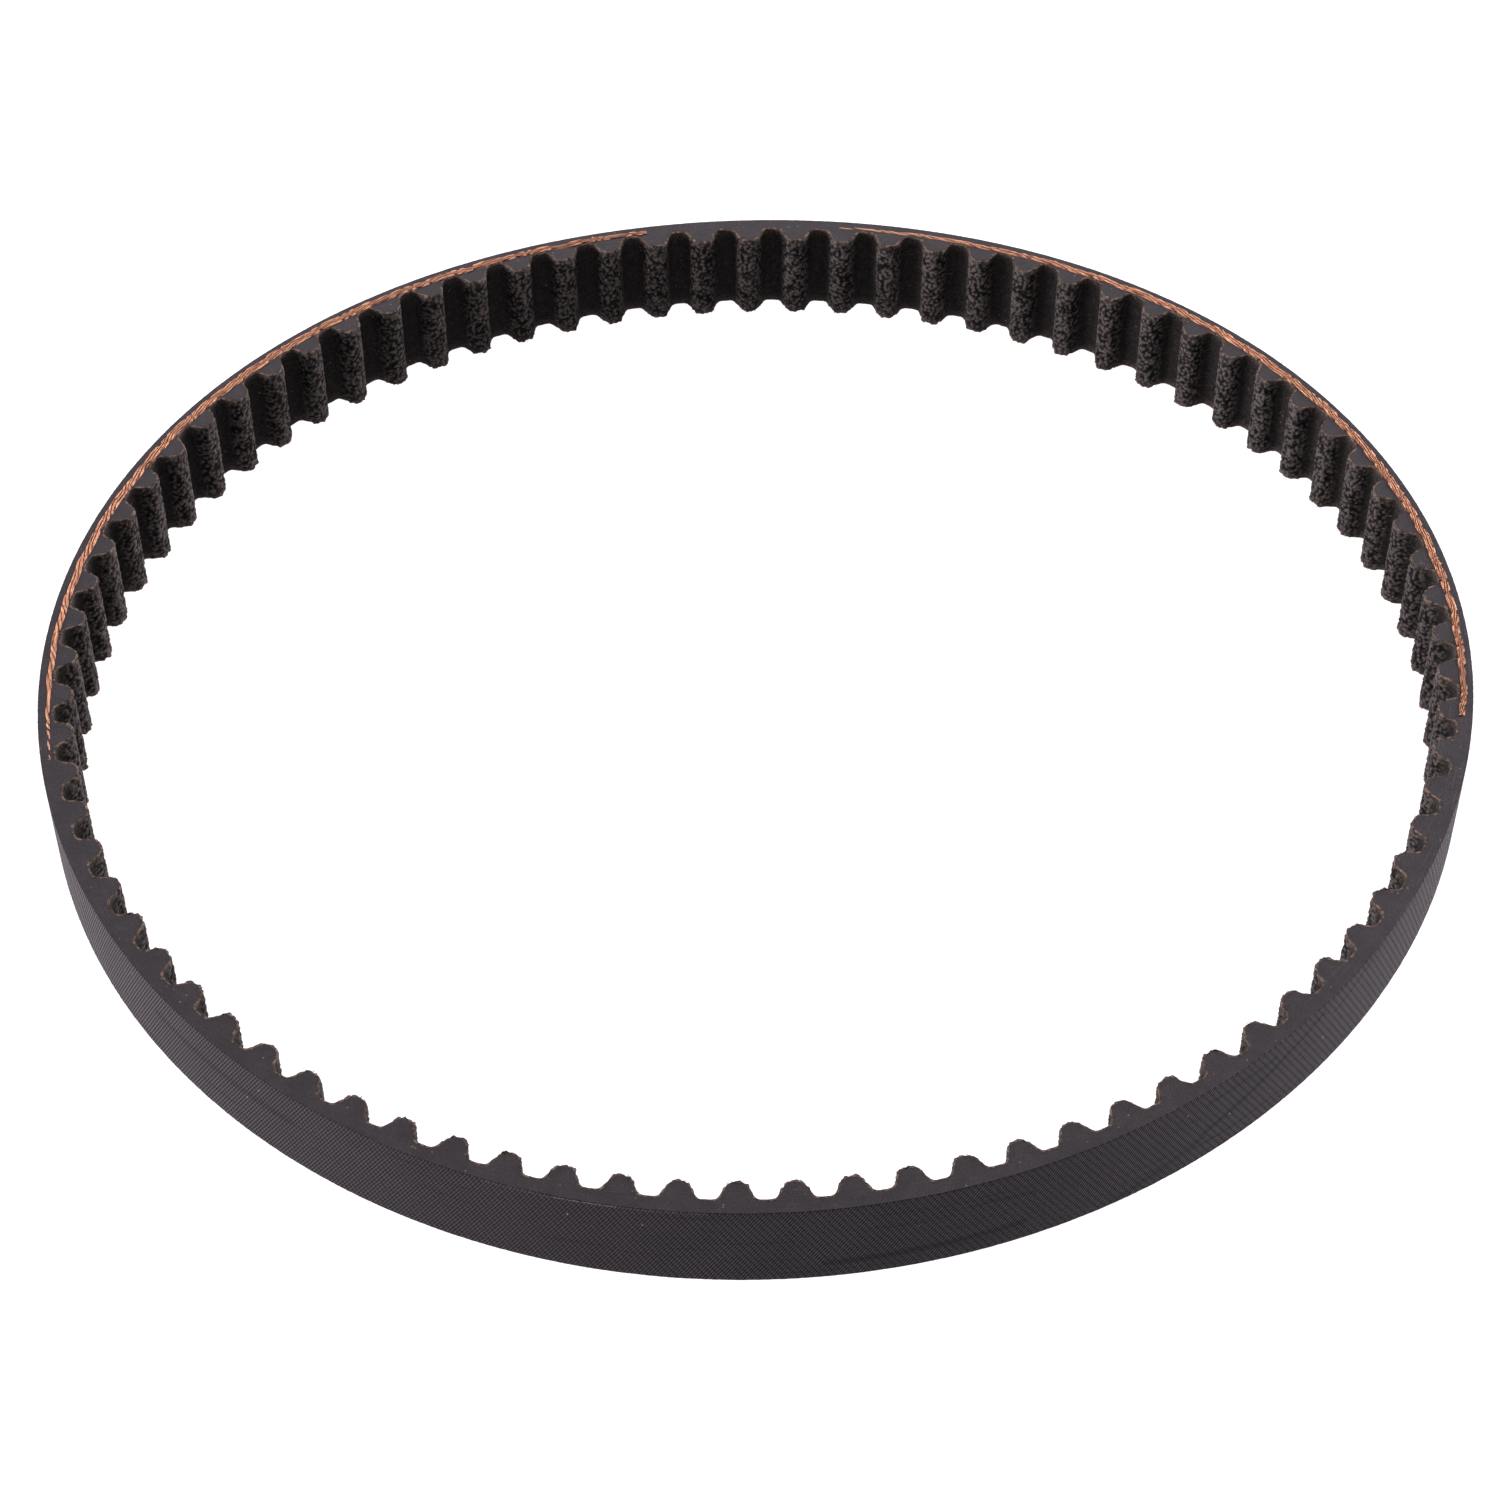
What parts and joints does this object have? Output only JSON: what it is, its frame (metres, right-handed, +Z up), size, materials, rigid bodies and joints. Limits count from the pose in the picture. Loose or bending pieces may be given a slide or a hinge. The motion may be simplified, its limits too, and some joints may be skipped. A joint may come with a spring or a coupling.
{
  "type": "timing belt",
  "caption": "Endless toothed rubber belt in a loose oval loop: cord-reinforced band, smooth outer back, fabric-faced teeth inside, hinged as coupled arcs to flex.",
  "frame": {"origin": "centre of the loop, on the plane that the belt's low edge stands on", "axes": "+Z up along the belt's width, +X along the long way of the loop, +Y across it"},
  "size_m": [0.1351, 0.1258, 0.01],
  "materials": {
    "backing_rubber": "moulded rubber with a faint woven imprint, satin",
    "tooth_rubber": "cut rubber, fine grained, satin",
    "facing_fabric": "rubber-soaked nylon fabric, pitted, brown where cut",
    "tension_cord": "twisted treated glass cord, orange tan"
  },
  "bodies": {
    "front_left": {"backing_front_left": "backing_rubber", "tooth_rubber_front_left": "tooth_rubber", "tooth_facing_front_left": "facing_fabric", "s_cord_front_left_1": "tension_cord", "s_cord_front_left_2": "tension_cord", "s_cord_front_left_3": "tension_cord", "z_cord_front_left_1": "tension_cord", "z_cord_front_left_2": "tension_cord", "z_cord_front_left_3": "tension_cord", "z_cord_front_left_4": "tension_cord"},
    "front_right": {"backing_front_right": "backing_rubber", "tooth_rubber_front_right": "tooth_rubber", "tooth_facing_front_right": "facing_fabric", "s_cord_front_right_1": "tension_cord", "s_cord_front_right_2": "tension_cord", "s_cord_front_right_3": "tension_cord", "z_cord_front_right_1": "tension_cord", "z_cord_front_right_2": "tension_cord", "z_cord_front_right_3": "tension_cord"},
    "right_back": {"backing_right_back": "backing_rubber", "tooth_rubber_right_back": "tooth_rubber", "tooth_facing_right_back": "facing_fabric", "s_cord_right_back_1": "tension_cord", "s_cord_right_back_2": "tension_cord", "s_cord_right_back_3": "tension_cord", "z_cord_right_back_1": "tension_cord", "z_cord_right_back_2": "tension_cord", "z_cord_right_back_3": "tension_cord"},
    "back_left": {"backing_back_left": "backing_rubber", "tooth_rubber_back_left": "tooth_rubber", "tooth_facing_back_left": "facing_fabric", "s_cord_back_left_1": "tension_cord", "s_cord_back_left_2": "tension_cord", "s_cord_back_left_3": "tension_cord", "s_cord_back_left_4": "tension_cord", "z_cord_back_left_1": "tension_cord", "z_cord_back_left_2": "tension_cord", "z_cord_back_left_3": "tension_cord"},
    "back_right": {"backing_back_right": "backing_rubber", "tooth_rubber_back_right": "tooth_rubber", "tooth_facing_back_right": "facing_fabric", "s_cord_back_right_1": "tension_cord", "s_cord_back_right_2": "tension_cord", "s_cord_back_right_3": "tension_cord", "s_cord_back_right_4": "tension_cord", "z_cord_back_right_1": "tension_cord", "z_cord_back_right_2": "tension_cord", "z_cord_back_right_3": "tension_cord"}
  },
  "joints": [
    {"name": "front_flex", "type": "hinge", "parent": "front_left", "child": "front_right", "pos_m": [0, -0.06207, 0], "axis": [0, 0, -1], "range_deg": [-4, 16], "stiffness_Nm_per_rad": 0.02},
    {"name": "right_flex", "type": "hinge", "parent": "front_right", "child": "right_back", "pos_m": [0.06665, 0, 0], "axis": [0, 0, 1], "range_deg": [-4, 16], "stiffness_Nm_per_rad": 0.02},
    {"name": "left_flex", "type": "hinge", "parent": "front_left", "child": "back_left", "pos_m": [-0.06665, 0, 0], "axis": [0, 0, -1], "range_deg": [-4, 16], "stiffness_Nm_per_rad": 0.02},
    {"name": "back_flex", "type": "hinge", "parent": "back_left", "child": "back_right", "pos_m": [0, 0.06207, 0], "axis": [0, 0, 1], "range_deg": [-4, 16], "stiffness_Nm_per_rad": 0.02}
  ],
  "couplings": [
    {"joint": "right_flex", "follows": "front_flex", "ratio": 1},
    {"joint": "left_flex", "follows": "front_flex", "ratio": 1},
    {"joint": "back_flex", "follows": "front_flex", "ratio": 1}
  ]
}
